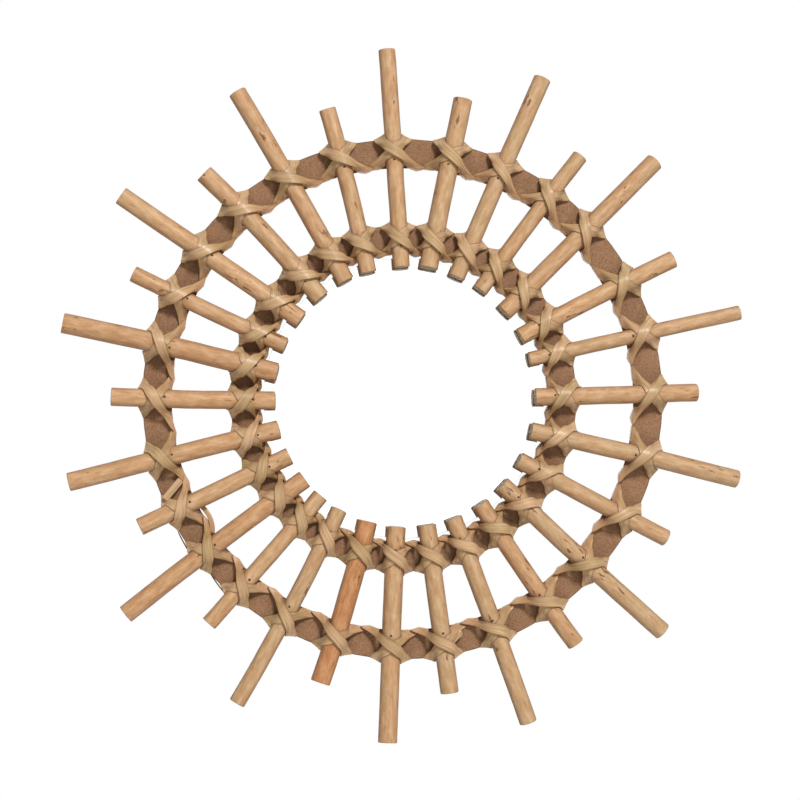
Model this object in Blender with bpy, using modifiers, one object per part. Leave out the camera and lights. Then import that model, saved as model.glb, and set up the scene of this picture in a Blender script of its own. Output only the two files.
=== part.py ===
"""Round wall mirror framed by a sunburst of rattan sticks lashed to two rings.

The disc stands in the XZ plane and faces -Y. The wall is the plane y = 0, where the back
board lies flat, and the origin is the middle of the two rings on that plane.
"""
import math

import bmesh
import bpy
from mathutils import Vector

MM = 0.001

# Clearance between two pieces that touch, and the least gap that counts as one point
TOUCH_GAP = 0.3 * MM
WELD = 0.01 * MM

# Split rattan peel that lashes the sticks to the rings
PEEL_WIDTH = 5.4 * MM
PEEL_THICKNESS = 0.8 * MM
PEEL_LAYERS = 2
PEEL_STACK = PEEL_LAYERS * (TOUCH_GAP + PEEL_THICKNESS)
# Share of the half gap to the next stick that a lashing takes at a ring's outer and inner edge
INNER_RING_SPREAD = (0.97, 1.0)
OUTER_RING_SPREAD = (0.74, 1.02)
# How much higher the upper band's ends ride, and the room round a stick under each layer
CROSSING_LIFT = 0.8 * MM
PEEL_SLACK = 0.35 * MM

# Flat fibreboard rings, and the clear space between the two
RING_THICKNESS = 5.0 * MM
INNER_RING_INSIDE = 79.0 * MM
INNER_RING_WIDTH = 15.5 * MM
RING_SPACING = 32.0 * MM
OUTER_RING_WIDTH = 15.5 * MM
OUTER_RING_INSIDE = INNER_RING_INSIDE + INNER_RING_WIDTH + RING_SPACING
FRAME_RADIUS = OUTER_RING_INSIDE + OUTER_RING_WIDTH

# Mirror glass inside the lashed inner ring
GLASS_CLEARANCE = 0.3 * MM
GLASS_RADIUS = INNER_RING_INSIDE - PEEL_STACK - GLASS_CLEARANCE
GLASS_THICKNESS = 3.0 * MM
GLASS_BEVEL = 0.6 * MM

# Depth of each layer from the wall towards the room: the lashings just clear the wall
WALL_CLEARANCE = 0.6 * MM
RING_BACK = WALL_CLEARANCE + PEEL_STACK
RING_FRONT = RING_BACK + RING_THICKNESS
STICK_PLANE = RING_FRONT + TOUCH_GAP
GLASS_FRONT = STICK_PLANE - TOUCH_GAP
GLASS_BACK = GLASS_FRONT - GLASS_THICKNESS

# Back board, which fills the depth behind the glass
BACK_THICKNESS = GLASS_BACK - TOUCH_GAP
BACK_MARGIN = 0.5 * MM
BACK_RADIUS = GLASS_RADIUS - BACK_MARGIN

# Keyhole routed in the back board, which hangs on a screw in the wall
KEYHOLE_FROM_EDGE = 26.0 * MM
KEYHOLE_HEAD_DIAMETER = 9.0 * MM
KEYHOLE_SLOT_WIDTH = 4.6 * MM
KEYHOLE_TRAVEL = 10.0 * MM
KEYHOLE_LIP = 1.6 * MM
KEYHOLE_POCKET_MARGIN = 1.0 * MM
CUTTER_EXCESS = 1.0 * MM

# Rattan sticks, long and short in turn, clockwise from the top: how far they stand out past
# the outer ring, and how far their inner ends lap over the glass
LONG_OVERHANG = 47.5 * MM
SHORT_OVERHANG = 20.5 * MM
STICK_DIAMETER = 9.7 * MM
STICK_LAP = 6.0 * MM
STICK_START = GLASS_RADIUS - STICK_LAP
# The circle of inner ends lies a little off the middle, towards this bearing
STICK_START_OFF = 0.7 * MM
STICK_START_BEARING = math.radians(50)
STICK_WAIST = (INNER_RING_INSIDE + INNER_RING_WIDTH + OUTER_RING_INSIDE) / 2

# The canes are cut and laid by hand. For each one: degrees clockwise off its even place at
# the waist, then how far foot and tip lie clockwise of the straight radius, extra reach and
# extra diameter, all four as multiples of one step.
HAND_STEP = 1.0 * MM
STICK_BY_HAND = (
    (-2.2, 1.0, -2.5, 1.0, -0.4),
    (-2.1, -0.5, 1.0, 4.0, 0.8),
    (-2.5, 0.0, 0.5, 1.5, -0.1),
    (-3.1, -0.5, 1.5, 1.5, -0.9),
    (-3.6, 2.0, -4.0, 0.0, 0.4),
    (-2.1, 0.0, 1.5, 3.5, -0.1),
    (-2.7, -2.0, 4.0, 0.5, -1.6),
    (-0.7, 0.5, -1.0, -2.0, 0.1),
    (1.0, 1.0, -0.5, -1.5, 0.1),
    (2.8, 0.0, -1.0, 0.0, -0.4),
    (3.7, -0.5, -0.5, 0.5, 0.2),
    (3.9, -1.0, -0.5, 0.5, -0.1),
    (4.1, -0.5, 2.5, -1.0, -0.1),
    (3.8, -1.0, 1.0, -1.0, 0.3),
    (3.3, 0.5, -1.5, -2.5, 0.7),
    (3.1, 1.0, 1.5, -1.5, 1.1),
    (2.9, 2.0, 0.5, -1.5, -0.8),
    (1.9, 0.0, 1.0, -1.0, -0.8),
    (0.5, -1.5, 0.5, 1.0, 0.5),
    (-0.8, -0.5, 1.0, -3.0, -0.1),
    (-1.4, 0.0, 0.0, -2.5, 0.4),
    (-0.7, -1.0, 2.0, -4.0, 0.3),
    (-0.9, -1.5, 0.5, 0.0, 1.3),
    (-2.0, -0.5, 2.0, -1.0, -0.8),
    (-2.6, 1.0, -2.0, -0.5, 0.5),
    (-2.0, 0.5, -4.0, 1.0, 0.7),
    (-2.0, 1.0, -3.5, 0.0, 0.2),
    (-2.2, -1.5, 0.0, 1.0, -0.4),
)

# Facets of the round pieces
RING_SIDES = 84
STICK_RESOLUTION = 4
KEYHOLE_FACETS = 12

STICK_COUNT = len(STICK_BY_HAND)
PITCH = 2 * math.pi / STICK_COUNT


def point(bearing, radius, depth):
    """A place by its bearing clockwise from the top, its radius and its depth off the wall."""
    return Vector((radius * math.sin(bearing), -depth, radius * math.cos(bearing)))


def make_material(name, colour, roughness, metallic=0.0):
    material = bpy.data.materials.new(name)
    material.use_nodes = True
    shader = material.node_tree.nodes["Principled BSDF"]
    shader.inputs["Base Color"].default_value = (*colour, 1.0)
    shader.inputs["Roughness"].default_value = roughness
    shader.inputs["Metallic"].default_value = metallic
    return material


def add_part(name, data, material):
    part = bpy.data.objects.new(name, data)
    part.data.materials.append(material)
    parts.objects.link(part)
    return part


class Stick:
    """One cane: where its line runs in the plane of the disc, and how thick it is."""

    def __init__(self, index):
        off, foot, tip, reach, thicker = STICK_BY_HAND[index]
        overhang = SHORT_OVERHANG if index % 2 else LONG_OVERHANG
        self.waist_bearing = index * PITCH + math.radians(off)
        self.foot, self.tip = foot * HAND_STEP, tip * HAND_STEP
        off_middle = STICK_START_OFF * math.cos(self.waist_bearing - STICK_START_BEARING)
        self.start = STICK_START + off_middle
        self.reach = FRAME_RADIUS + overhang + reach * HAND_STEP
        self.radius = (STICK_DIAMETER + thicker * HAND_STEP) / 2

    def drift(self, radius):
        """How far the line lies clockwise of the straight radius, on straight runs from
        the foot to the waist and on to the tip."""
        if radius < STICK_WAIST:
            return self.foot * (STICK_WAIST - radius) / (STICK_WAIST - self.start)
        return self.tip * (radius - STICK_WAIST) / (self.reach - STICK_WAIST)

    def bearing(self, radius):
        return self.waist_bearing + self.drift(radius) / radius

    def axis_depth(self):
        return STICK_PLANE + self.radius


def add_stick(index, stick, material):
    """A cane as a curve with a round bevel and filled ends."""
    curve = bpy.data.curves.new("stick", "CURVE")
    curve.dimensions = "3D"
    curve.bevel_depth = stick.radius
    curve.bevel_resolution = STICK_RESOLUTION
    curve.use_fill_caps = True
    spline = curve.splines.new("POLY")
    radii = (stick.start, STICK_WAIST, stick.reach)
    spline.points.add(len(radii) - 1)
    for spline_point, radius in zip(spline.points, radii):
        place = point(stick.bearing(radius), radius, stick.axis_depth())
        spline_point.co = (*place, 1.0)
    return add_part(f"stick_{index + 1:02d}", curve, material)


def add_turned(name, profile, material):
    """A closed ring or disc: a profile of (radius, depth) turned about the Y axis."""
    mesh = bpy.data.meshes.new(name)
    vertices = [(radius, -depth, 0.0) for radius, depth in profile]
    edges = [(corner, corner + 1) for corner in range(len(profile) - 1)]
    starts_on_axis = profile[0][0] == 0.0
    if not starts_on_axis:
        edges.append((len(profile) - 1, 0))
    mesh.from_pydata(vertices, edges, [])
    part = add_part(name, mesh, material)
    screw = part.modifiers.new("turn", "SCREW")
    screw.axis = "Y"
    screw.steps = screw.render_steps = RING_SIDES
    screw.use_merge_vertices = True
    screw.merge_threshold = WELD
    return part


def add_ring(name, inside, width, material):
    outside = inside + width
    profile = [
        (inside, RING_FRONT), (inside, RING_BACK), (outside, RING_BACK), (outside, RING_FRONT),
    ]
    return add_turned(name, profile, material)


def add_glass(material):
    profile = [
        (0.0, GLASS_BACK), (GLASS_RADIUS, GLASS_BACK),
        (GLASS_RADIUS, GLASS_FRONT - GLASS_BEVEL), (GLASS_RADIUS - GLASS_BEVEL, GLASS_FRONT),
        (0.0, GLASS_FRONT),
    ]
    return add_turned("mirror_glass", profile, material)


def weld(mesh):
    shape = bmesh.new()
    shape.from_mesh(mesh)
    bmesh.ops.remove_doubles(shape, verts=shape.verts, dist=WELD)
    bmesh.ops.recalc_face_normals(shape, faces=shape.faces)
    shape.to_mesh(mesh)
    shape.free()


def keyhole_outline(head_diameter, slot_width):
    """A round head hole with a slot that runs straight up from it."""
    head_radius, slot_radius = head_diameter / 2, slot_width / 2
    neck = math.asin(slot_radius / head_radius)
    outline = []
    for step in range(KEYHOLE_FACETS + 1):
        angle = neck + step * 2 * (math.pi - neck) / KEYHOLE_FACETS
        outline.append((head_radius * math.sin(angle), head_radius * math.cos(angle)))
    for step in range(KEYHOLE_FACETS // 2 + 1):
        angle = -math.pi / 2 + step * 2 * math.pi / KEYHOLE_FACETS
        across = slot_radius * math.sin(angle)
        outline.append((across, KEYHOLE_TRAVEL + slot_radius * math.cos(angle)))
    return outline


def add_cutter(name, outline, low, high):
    """A flat outline in the wall's plane, made solid between two depths."""
    curve = bpy.data.curves.new(name, "CURVE")
    curve.dimensions = "2D"
    curve.fill_mode = "BOTH"
    curve.extrude = (high - low) / 2
    spline = curve.splines.new("POLY")
    spline.points.add(len(outline) - 1)
    for spline_point, (across, up) in zip(spline.points, outline):
        spline_point.co = (across, up, 0.0, 1.0)
    spline.use_cyclic_u = True
    flat = bpy.data.objects.new(name, curve)
    cutters.objects.link(flat)
    flat.rotation_euler = (math.pi / 2, 0.0, 0.0)
    flat.location = (0.0, -(low + high) / 2, BACK_RADIUS - KEYHOLE_FROM_EDGE)
    bpy.context.view_layer.update()
    evaluated = flat.evaluated_get(bpy.context.evaluated_depsgraph_get())
    mesh = bpy.data.meshes.new_from_object(evaluated)
    weld(mesh)
    cutter = bpy.data.objects.new(name, mesh)
    cutter.matrix_world = flat.matrix_world
    bpy.data.objects.remove(flat)
    cutters.objects.link(cutter)
    cutter.hide_render = True
    cutter.display_type = "WIRE"
    return cutter


def add_back_board(material):
    """A disc under the glass, with a lip round the keyhole and a wider pocket behind it."""
    profile = [
        (0.0, 0.0), (BACK_RADIUS, 0.0), (BACK_RADIUS, BACK_THICKNESS), (0.0, BACK_THICKNESS),
    ]
    board = add_turned("back_board", profile, material)
    pocket_width = KEYHOLE_HEAD_DIAMETER + 2 * KEYHOLE_POCKET_MARGIN
    lip = keyhole_outline(KEYHOLE_HEAD_DIAMETER, KEYHOLE_SLOT_WIDTH)
    pocket = keyhole_outline(pocket_width, pocket_width)
    for cutter in (
        add_cutter("keyhole_lip", lip, -CUTTER_EXCESS, KEYHOLE_LIP + CUTTER_EXCESS),
        add_cutter("keyhole_pocket", pocket, KEYHOLE_LIP, BACK_THICKNESS + CUTTER_EXCESS),
    ):
        cut = board.modifiers.new(cutter.name, "BOOLEAN")
        cut.operation = "DIFFERENCE"
        cut.object = cutter
    return board


class Lashing:
    """The path of one band of peel round a ring and over every stick on it.

    The band is a row of cross-lines, each with a left and a right point. Places on it are
    given by the stick, the distance across from the stick's line, the radius and the height
    over the ring's front face. The over band runs from the ring's outer edge at the left of
    a stick to its inner edge at the right, and the under band is its mirror image.
    """

    def __init__(self, sticks, inside, width, spread, is_over):
        self.sticks = sticks
        self.side = 1 if is_over else -1
        layer = 1 if is_over else 0
        self.off = TOUCH_GAP + layer * PEEL_STACK / PEEL_LAYERS
        self.end_lift = self.off + layer * CROSSING_LIFT
        self.slack = PEEL_SLACK * (1 + layer)
        self.inner = inside - self.off
        self.outer = inside + width + self.off
        self.middle = inside + width / 2
        self.spread_outside, self.spread_inside = spread

    def half_gap(self, index, ahead, radius):
        """Half the arc at this radius from the stick's line to its neighbour's."""
        here = self.sticks[index].bearing(self.middle)
        there = self.sticks[(index + ahead) % len(self.sticks)].bearing(self.middle)
        turn = abs((there - here + math.pi) % (2 * math.pi) - math.pi)
        return radius * turn / 2

    def place(self, index, across, radius, height):
        bearing = self.sticks[index].bearing(radius) + self.side * across / radius
        return point(bearing, radius, RING_FRONT + height)

    def tent(self, stick, reach):
        """Slope of the taut band from the ring's edge to the stick, and the fold on top."""
        body = stick.radius + self.off + self.slack
        centre = STICK_PLANE - RING_FRONT + stick.radius
        rise = centre - self.end_lift
        slope = math.atan2(rise, reach) + math.asin(body / math.hypot(rise, reach))
        return slope, body * math.tan(slope / 2), centre + body

    def rows_at(self, index):
        stick = self.sticks[index]
        far_left = self.spread_outside * self.half_gap(index, -self.side, self.outer)
        far_right = self.spread_inside * self.half_gap(index, self.side, self.inner)
        slope_left, fold_left, top = self.tent(stick, far_left)
        slope_right, fold_right, top = self.tent(stick, far_right)
        rise = top - self.end_lift
        left_run = math.hypot(far_left - fold_left, rise)
        right_run = math.hypot(far_right - fold_right, rise)
        run = left_run + fold_left + fold_right + right_run
        drop = self.outer - self.inner
        lean = math.acos(PEEL_WIDTH / math.hypot(run, drop)) - math.atan2(drop, run)
        cross = PEEL_WIDTH / math.cos(lean)
        half_cut = PEEL_WIDTH / 2 / math.sin(lean)

        def middle_radius(along):
            return self.outer - drop * (along - cross / 2) / (run - cross)

        first = middle_radius(left_run)
        second = middle_radius(left_run + fold_left + fold_right)
        beside = stick.radius + TOUCH_GAP
        near_left = max(far_left - cross * math.cos(slope_left), beside)
        near_right = max(far_right - cross * math.cos(slope_right), beside)
        low, back = self.end_lift, RING_BACK - RING_FRONT - self.off
        high_left = low + (far_left - near_left) * math.tan(slope_left)
        high_right = low + (far_right - near_right) * math.tan(slope_right)
        return [
            (self.place(index, -near_left - PEEL_WIDTH, self.outer, back),
             self.place(index, -near_left, self.outer, back)),
            (self.place(index, -far_left, self.outer, low),
             self.place(index, -near_left, self.outer, high_left)),
            (self.place(index, -fold_left, first - half_cut, top),
             self.place(index, -fold_left, first + half_cut, top)),
            (self.place(index, fold_right, second - half_cut, top),
             self.place(index, fold_right, second + half_cut, top)),
            (self.place(index, near_right, self.inner, high_right),
             self.place(index, far_right, self.inner, low)),
            (self.place(index, near_right, self.inner, back),
             self.place(index, near_right + PEEL_WIDTH, self.inner, back)),
        ]

    def rows(self):
        order = range(len(self.sticks))
        if self.side < 0:
            order = reversed(order)
        return [row for index in order for row in self.rows_at(index)]


def add_lashing(name, lashing, material):
    """An open strip through the cross-lines, closed into a loop and given its thickness."""
    rows = lashing.rows()
    count = len(rows)
    vertices = [corner for row in rows for corner in row]
    faces = []
    for step in range(count):
        left, right = 2 * step, 2 * step + 1
        next_left, next_right = (2 * (step + 1)) % (2 * count), (2 * (step + 1) + 1) % (2 * count)
        face = (left, right, next_right, next_left)
        faces.append(face if lashing.side < 0 else face[::-1])
    mesh = bpy.data.meshes.new(name)
    mesh.from_pydata(vertices, [], faces)
    part = add_part(name, mesh, material)
    solid = part.modifiers.new("thickness", "SOLIDIFY")
    solid.thickness = PEEL_THICKNESS
    solid.offset = 1.0
    return part


for old in list(bpy.data.objects):
    bpy.data.objects.remove(old)

parts = bpy.data.collections.new("rattan_sunburst_mirror")
cutters = bpy.data.collections.new("cutters")
bpy.context.scene.collection.children.link(parts)
bpy.context.scene.collection.children.link(cutters)

rattan = make_material("rattan", (0.60, 0.37, 0.18), 0.5)
peel = make_material("rattan_peel", (0.55, 0.38, 0.18), 0.4)
fibreboard = make_material("fibreboard", (0.27, 0.15, 0.09), 0.8)
silvered_glass = make_material("silvered_glass", (0.92, 0.93, 0.93), 0.02, 1.0)
hardboard = make_material("hardboard", (0.30, 0.19, 0.11), 0.85)

sticks = [Stick(index) for index in range(STICK_COUNT)]
for index, stick in enumerate(sticks):
    add_stick(index, stick, rattan)

RINGS = (
    ("inner", INNER_RING_INSIDE, INNER_RING_WIDTH, INNER_RING_SPREAD),
    ("outer", OUTER_RING_INSIDE, OUTER_RING_WIDTH, OUTER_RING_SPREAD),
)
for ring_name, inside, width, spread in RINGS:
    add_ring(f"{ring_name}_ring", inside, width, fibreboard)
    for band, is_over in (("under", False), ("over", True)):
        lashing = Lashing(sticks, inside, width, spread, is_over)
        add_lashing(f"{ring_name}_lashing_{band}", lashing, peel)

add_glass(silvered_glass)
add_back_board(hardboard)
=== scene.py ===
"""Looks of a round wall mirror framed by a sunburst of rattan canes lashed to two rings.

The disc stands in the XZ plane and faces -Y. A bearing is an angle clockwise from the top,
a radius is measured from the middle of the rings, and a depth from the wall at y = 0.
"""
import math
import random

import bmesh
import bpy
import numpy as np
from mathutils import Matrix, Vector, noise


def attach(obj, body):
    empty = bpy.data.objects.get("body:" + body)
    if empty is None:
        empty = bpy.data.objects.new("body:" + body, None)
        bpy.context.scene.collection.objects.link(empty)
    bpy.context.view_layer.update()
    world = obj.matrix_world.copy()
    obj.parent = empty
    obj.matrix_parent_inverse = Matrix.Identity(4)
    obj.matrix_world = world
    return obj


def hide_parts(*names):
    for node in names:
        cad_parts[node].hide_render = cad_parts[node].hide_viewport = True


MM = 0.001
TURN = 2 * math.pi
CANE_COUNT = 28

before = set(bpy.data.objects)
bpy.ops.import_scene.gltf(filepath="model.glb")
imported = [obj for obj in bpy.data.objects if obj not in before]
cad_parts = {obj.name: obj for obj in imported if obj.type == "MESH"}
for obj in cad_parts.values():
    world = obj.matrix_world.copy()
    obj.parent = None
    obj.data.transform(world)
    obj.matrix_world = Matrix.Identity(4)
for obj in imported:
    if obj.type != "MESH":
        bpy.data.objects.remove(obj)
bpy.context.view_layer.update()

# Split peel of the lashings, and how its two layers lie over the boards and each other
PEEL_WIDTH = 5.4 * MM
PEEL_THICKNESS = 0.8 * MM
PEEL_GAP = 0.3 * MM
PEEL_LAYER = PEEL_THICKNESS + PEEL_GAP
PEEL_SLACK = 0.35 * MM
CROSSING_LIFT = 0.8 * MM
# How far from the cane's side a band's foot starts at a ring's outer edge, and how far across
# from the cane's line the middle of its foot lies at the inner edge
INNER_RING_FEET = (-1.2 * MM, 7.8 * MM)
OUTER_RING_FEET = (0.2 * MM, 11.4 * MM)
# How much the feet stray: the outer one as a share of half the peel's width, the inner one of
# its own distance
OUTER_FOOT_STRAY = (0.95, 1.15)
INNER_FOOT_STRAY = (0.93, 1.07)
PEEL_CROWN = 0.3 * MM
CROWN_POWER = 2.5
PEEL_SHARP = math.radians(50)
PEEL_COLUMNS = 7
FRONT_STEPS = 24
CORNER_STEPS = 4
BACK_STEPS = 6
# How far from a bend its rounding starts, and at most what share of the way to the next line
CORNER_CUT = 0.9 * MM
CORNER_SHARE = 0.45
# At the outer edge a band bulges past the board by this share of its height over it, and is
# gathered to its own width
OUTER_BULGE = 0.6
BULGE_HEIGHT = 4.5 * MM
BULGE_SHARE = 0.42
GATHER_SHARE = 0.22
# Where across the band, from -0.5 to 0.5, it stands out most at the inner edge, and how far
# from there it is drawn in by its whole layer
BULGE_MIDDLE = 0.05
BULGE_REACH = 0.6
# The last share of its way in over which that grows
TUCK_SHARE = 0.2
# Canes at which the other band runs on top on the outer ring, counted from the top one clockwise
CROSSED_THE_OTHER_WAY = (20, 21, 22)

# Loose ends of peel on the outer ring, and threads beside it, coloured dark as painted shade for
# the shadow along the ring's edge. Each one follows four points, given as bearing in degrees, and
# radius and height over the board in mm. Its width in mm is last
LOOSE_ENDS = (
    ((246.9, 140.6, 4.6), (247.8, 137.0, 4.2), (249.0, 131.5, 3.0), (250.4, 126.4, 1.6), 3.8),
    ((169.6, 135.0, 4.6), (168.6, 133.4, 4.0), (167.4, 131.8, 3.2), (166.3, 130.4, 2.6), 4.2),
    ((47.3, 135.6, 4.9), (46.3, 134.2, 4.4), (45.3, 132.6, 3.8), (44.4, 131.2, 3.0), 4.4),
    ((234.8, 127.0, 3.0), (237.2, 123.0, 3.0), (240.4, 122.6, 2.2), (243.0, 126.0, 1.2), 2.6),
)
THREADS = (
    ((222.3, 143.8, 1.2), (224.4, 143.2, 1.6), (226.4, 142.5, 1.6), (228.2, 141.4, 1.2), 0.7),
    ((233.9, 143.4, 1.2), (235.8, 143.1, 1.6), (237.6, 142.9, 1.6), (239.6, 142.2, 1.2), 0.7),
)
LOOSE_STEPS = 14
LOOSE_COLUMNS = 5
# The share of its run from which a loose end narrows, and how blunt its tip is
LOOSE_TAPER_START = 0.75
LOOSE_BLUNTNESS = 0.07

# Canes
CANE_PATH_STEPS = 8
CANE_FACETS = 26
CANE_SPACING = 1.3 * MM
CANE_BEVEL = 0.35 * MM
CANE_CROOKEDNESS = 0.7 * MM
CANE_SWELLING = 0.06
CANE_RELIEF = 0.16 * MM
CANE_SEED_STEP = 3.7
END_CUT_SEED = 28
# How far in from each end its slanted cut reaches, and how steep the cuts are at most
FOOT_CUT_REACH = 2.5 * MM
TIP_CUT_REACH = 3.0 * MM
FOOT_SLANT = 0.12
TIP_SLANT = 0.15
# The rings of a cut end, as how many bevels each one rises and how much it shrinks
CUT_RINGS = ((1.0, 0.93), (0.0, 0.74), (0.0, 0.5), (0.0, 0.25))
# Tone from dark to light, and warmth from yellow at 0 over orange at 1 to deep orange at 2, of
# each cane from the top one on
CANE_FINISH = (
    (0.5, 0.6), (0.5, 0.4), (0.5, 0.3), (0.5, 0.5), (0.5, 0.6), (0.7, 0.5), (0.5, 0.5),
    (0.5, 0.6), (0.5, 0.3), (0.5, 0.5), (0.5, 0.3), (0.4, 0.9), (0.5, 0.3), (0.5, 0.3),
    (0.5, 0.6), (0.5, 1.6), (0.5, 0.3), (0.7, 0.4), (0.5, 1.1), (0.7, 0.5), (0.6, 0.8),
    (0.65, 0.8), (0.4, 1.1), (0.5, 0.7), (0.7, 0.5), (0.5, 0.5), (0.5, 0.7), (0.5, 0.5),
)

# Brads that hold the canes to the two boards, and the share of canes whose brad shows
INNER_BRAD_RADIUS = 82.3 * MM
OUTER_BRAD_RADIUS = 129.2 * MM
SHOWN_BRADS = 0.65
BRAD_HEAD = 0.75 * MM
BRAD_DOME = 0.35
BRAD_LEAN = 0.2
BRAD_SUNK = 0.15 * MM
BRAD_SEED = 5
# How far a brad strays along its cane and across it
BRAD_STRAY_ALONG = 0.5 * MM
BRAD_STRAY_ACROSS = 0.9 * MM

# Boards and glass: their worn and polished edges, how uneven the saw left the boards, what
# share of that shows in depth and with how many waves a metre, and how far inside the back of
# the glass its silver lies
TURNED_SEGMENTS = 360
BOARD_WEAR = 0.35 * MM
BOARD_UNEVENNESS = 0.12 * MM
BOARD_DEPTH_SHARE = 0.4
BOARD_WAVES = 180
BOARD_SHARP = math.radians(35)
GLASS_BEVEL = 0.03 * MM
GLASS_MARGIN = 1.0 * MM
SILVER_INSET = 0.08 * MM

# White room: how strongly it lights the pieces, in what tint, and how strongly it is mirrored
AMBIENT = 0.30
AMBIENT_TINT = (1.0, 0.93, 0.84, 1.0)
MIRRORED = 1.25
FLOOR_HALF = 3.0
FLOOR_LEVEL = -0.75
# Round lights: name, place, size, power and whether they gleam on the pieces
LIGHTS = (
    ("key", (0.72, -2.6, 1.9), 0.75, 92.0, True),
    ("back_fill", (0.0, 1.6, 0.2), 1.2, 20.0, False),
)

# Camera: where it stands and looks, across and up from the middle of the rings, and how wide
# the picture is in pixels and what a pixel is there
CAMERA_DISTANCE = 1.1
CAMERA_FOOT = (-0.056, -0.044)
CAMERA_AIM = (-0.0025, -0.0014)
PICTURE_WIDTH = 800
PIXEL = 0.543 * MM


def sun_point(bearing, radius, depth):
    return Vector((radius * math.sin(bearing), -depth, radius * math.cos(bearing)))


def linear(red, green, blue):
    """A colour given as a screen shows it, 0 to 255, as the shaders read it."""
    def one(value):
        value /= 255
        return value / 12.92 if value <= 0.04045 else ((value + 0.055) / 1.055) ** 2.4
    return one(red), one(green), one(blue), 1.0


def feed(tree, socket, value):
    """Links a socket to another node's output, or gives it a plain value."""
    if isinstance(value, bpy.types.NodeSocket):
        tree.links.new(value, socket)
    else:
        socket.default_value = value


def add_node(tree, kind, inputs=None, **settings):
    """A node with its settings, and inputs given by name or number as a value or a socket."""
    made = tree.nodes.new(kind)
    for name, value in settings.items():
        setattr(made, name, value)
    for key, value in (inputs or {}).items():
        feed(tree, made.inputs[key], value)
    return made


def out(tree, kind, inputs=None, **settings):
    """The first output of a new node."""
    return add_node(tree, kind, inputs, **settings).outputs[0]


def math_node(tree, operation, *values):
    return out(tree, "ShaderNodeMath", dict(enumerate(values)), operation=operation)


def vector_node(tree, operation, *values):
    made = add_node(tree, "ShaderNodeVectorMath", dict(enumerate(values)), operation=operation)
    return made.outputs["Value" if operation in ("DOT_PRODUCT", "LENGTH") else "Vector"]


def scaled(tree, vector, factor):
    return out(tree, "ShaderNodeVectorMath", {0: vector, "Scale": factor}, operation="SCALE")


def combined(tree, x=0.0, y=0.0, z=0.0):
    return out(tree, "ShaderNodeCombineXYZ", {"X": x, "Y": y, "Z": z})


def noise_node(tree, vector, scale, detail, roughness=0.5, output="Fac"):
    made = add_node(tree, "ShaderNodeTexNoise", {
        "Vector": vector, "Scale": scale, "Detail": detail, "Roughness": roughness,
    })
    return made.outputs[output]


def fibre_noise(tree, vector, scales, detail, roughness=0.5):
    """Noise with a scale of its own along each axis, for grain that runs one way."""
    return noise_node(tree, vector_node(tree, "MULTIPLY", vector, scales), 1.0, detail, roughness)


def ramp(tree, factor, low, high, *colours):
    """A colour ramp with its colours spread evenly from low to high."""
    made = add_node(tree, "ShaderNodeValToRGB", {"Fac": factor})
    elements = made.color_ramp.elements
    while len(elements) < len(colours):
        elements.new(0.5)
    for number, (element, colour) in enumerate(zip(elements, colours)):
        element.position = low + (high - low) * number / (len(colours) - 1)
        element.color = colour
    return made.outputs["Color"]


def between(tree, value, low, high, to_low=0.0, to_high=1.0):
    """The value's share between low and high, held inside and mapped to the new range."""
    return out(tree, "ShaderNodeMapRange", {
        "Value": value, "From Min": low, "From Max": high, "To Min": to_low, "To Max": to_high,
    }, interpolation_type="SMOOTHSTEP")


def mix(tree, factor, first, second):
    made = add_node(tree, "ShaderNodeMix", data_type="RGBA")
    for socket, value in (("Factor_Float", factor), ("A_Color", first), ("B_Color", second)):
        feed(tree, next(s for s in made.inputs if s.identifier == socket), value)
    return next(s for s in made.outputs if s.identifier == "Result_Color")


def new_material(name, roughness, metallic=0.0, specular=0.5):
    material = bpy.data.materials.new(name)
    material.use_nodes = True
    tree = material.node_tree
    shader = tree.nodes["Principled BSDF"]
    shader.inputs["Metallic"].default_value = metallic
    shader.inputs["Roughness"].default_value = roughness
    shader.inputs["Specular IOR Level"].default_value = specular
    return material, tree, shader


def object_place(tree):
    return add_node(tree, "ShaderNodeTexCoord").outputs["Object"]


def dress(tree, shader, colour, grain, at_low, at_high):
    """Gives the shader its colour, and a roughness that follows the grain."""
    tree.links.new(colour, shader.inputs["Base Color"])
    tree.links.new(between(tree, grain, 0.3, 0.7, at_low, at_high), shader.inputs["Roughness"])


def bump(tree, shader, height, distance, strength):
    made = add_node(tree, "ShaderNodeBump", {
        "Height": height, "Distance": distance, "Strength": strength,
    })
    tree.links.new(made.outputs["Normal"], shader.inputs["Normal"])


def attribute(tree, name, output="Vector"):
    return add_node(tree, "ShaderNodeAttribute", attribute_name=name).outputs[output]


# Materials

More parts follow.
